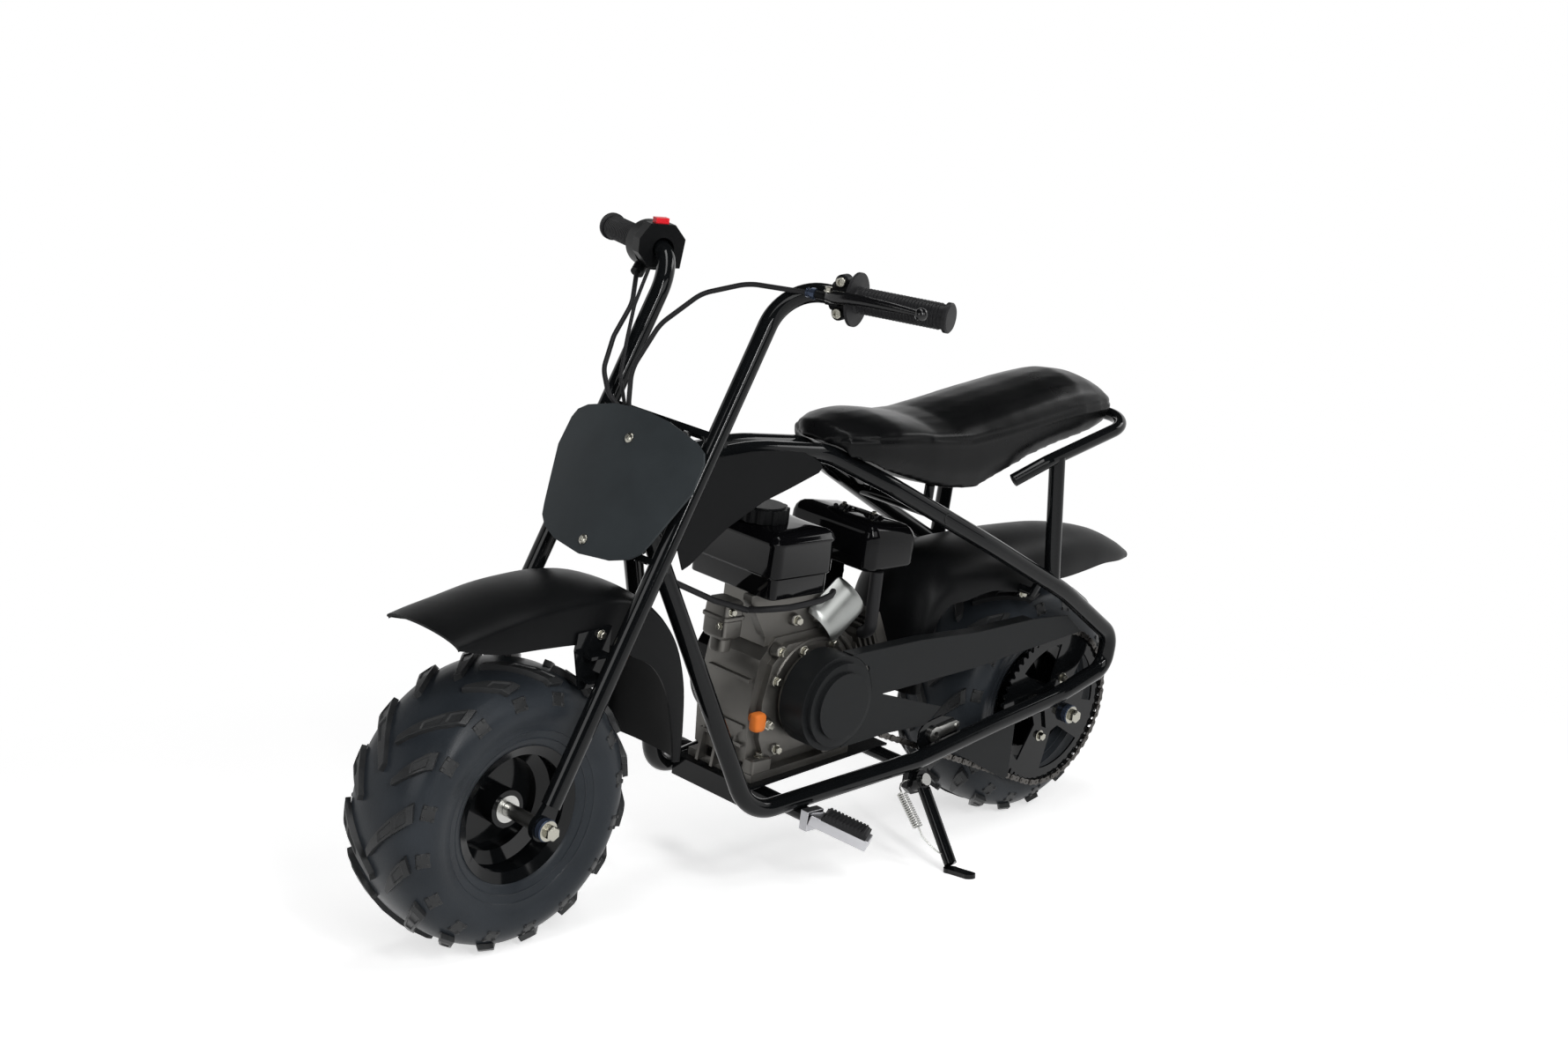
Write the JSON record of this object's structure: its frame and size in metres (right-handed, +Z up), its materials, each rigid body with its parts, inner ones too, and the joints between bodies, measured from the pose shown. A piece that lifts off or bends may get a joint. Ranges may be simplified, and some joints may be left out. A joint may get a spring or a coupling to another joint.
{
  "type": "minibike",
  "caption": "Small off-road minibike with wide knobbly tyres, tube frame, open engine with chain drive, long seat and number plate, parked on its side stand.",
  "frame": {"origin": "middle of the bounding box at the ground", "axes": "+X to the front of the bike, +Y to the rider's left, +Z up; the bike leans to +Y on its side stand"},
  "size_m": [1.4032, 0.6345, 0.8915],
  "materials": {
    "frame_paint": "gloss",
    "satin_black": "satin",
    "plate_grey": "satin",
    "vinyl": "satin",
    "tyre": "matte",
    "rubber": "matte",
    "casting": "satin",
    "tank_black": "gloss",
    "steel": "satin",
    "orange": "gloss",
    "red": "gloss",
    "peg_alloy": "satin",
    "chain_steel": "satin"
  },
  "bodies": {
    "frame": {"loop_left": "frame_paint", "loop_right": "frame_paint", "head_tube": "frame_paint", "engine_bar": "frame_paint", "peg_bar": "frame_paint", "engine_plate": "frame_paint", "stand_bracket": "frame_paint", "stand_bolt": "steel", "footpegs": "peg_alloy", "peg_rubbers": "rubber", "seat": "vinyl", "seat_hoop": "frame_paint", "seat_struts": "frame_paint", "seat_bracket": "frame_paint", "side_panels": "satin_black", "rear_fender": "satin_black", "engine_case": "casting", "cylinder_head": "casting", "muffler": "tank_black", "recoil_cover": "tank_black", "fuel_tank": "tank_black", "fuel_cap": "satin_black", "air_box": "tank_black", "heat_shield": "steel", "intake_elbow": "rubber", "oil_plug": "orange", "clutch_cover": "satin_black", "chain_guard": "satin_black", "chain": "chain_steel", "lower_guard": "satin_black", "brake_bracket": "frame_paint", "brake_arm": "steel", "rear_axle": "steel", "wire_loom": "rubber"},
    "steering": {"fork_bar": "frame_paint", "number_plate": "plate_grey", "front_fender": "satin_black", "fender_brackets": "frame_paint", "plate_clamp": "frame_paint", "front_axle": "steel", "grip_left": "rubber", "grip_right": "rubber", "throttle_housing": "satin_black", "switch_box": "satin_black", "kill_switch": "red", "lever_perch": "satin_black", "brake_lever": "satin_black", "throttle_cable": "rubber", "switch_wire": "rubber", "brake_cable": "rubber"},
    "front_wheel": {"front_tyre": "tyre", "front_rim": "frame_paint", "front_bearings": "steel"},
    "rear_wheel": {"rear_tyre": "tyre", "rear_rim": "frame_paint", "rear_bearings": "steel", "sprocket": "frame_paint"},
    "side_stand": {"side_stand": "frame_paint", "stand_spring": "steel"}
  },
  "joints": [
    {"name": "steering_turn", "type": "hinge", "parent": "frame", "child": "steering", "pos_m": [0.32467, -0.04096, 0.55426], "axis": [-0.4195, 0.1562, 0.8942], "range_deg": [-35, 35]},
    {"name": "front_wheel_spin", "type": "hinge", "parent": "steering", "child": "front_wheel", "pos_m": [0.523, -0.10581, 0.1831], "axis": [0, 0.9851, -0.1721], "continuous": true},
    {"name": "rear_wheel_spin", "type": "hinge", "parent": "frame", "child": "rear_wheel", "pos_m": [-0.46, -0.10581, 0.1831], "axis": [0, 0.9851, -0.1721], "continuous": true},
    {"name": "side_stand_fold", "type": "hinge", "parent": "frame", "child": "side_stand", "pos_m": [-0.142, 0.00346, 0.11123], "axis": [0, 0.9506, 0.3105], "range_deg": [0, 95], "deforming": ["stand_spring"]}
  ]
}
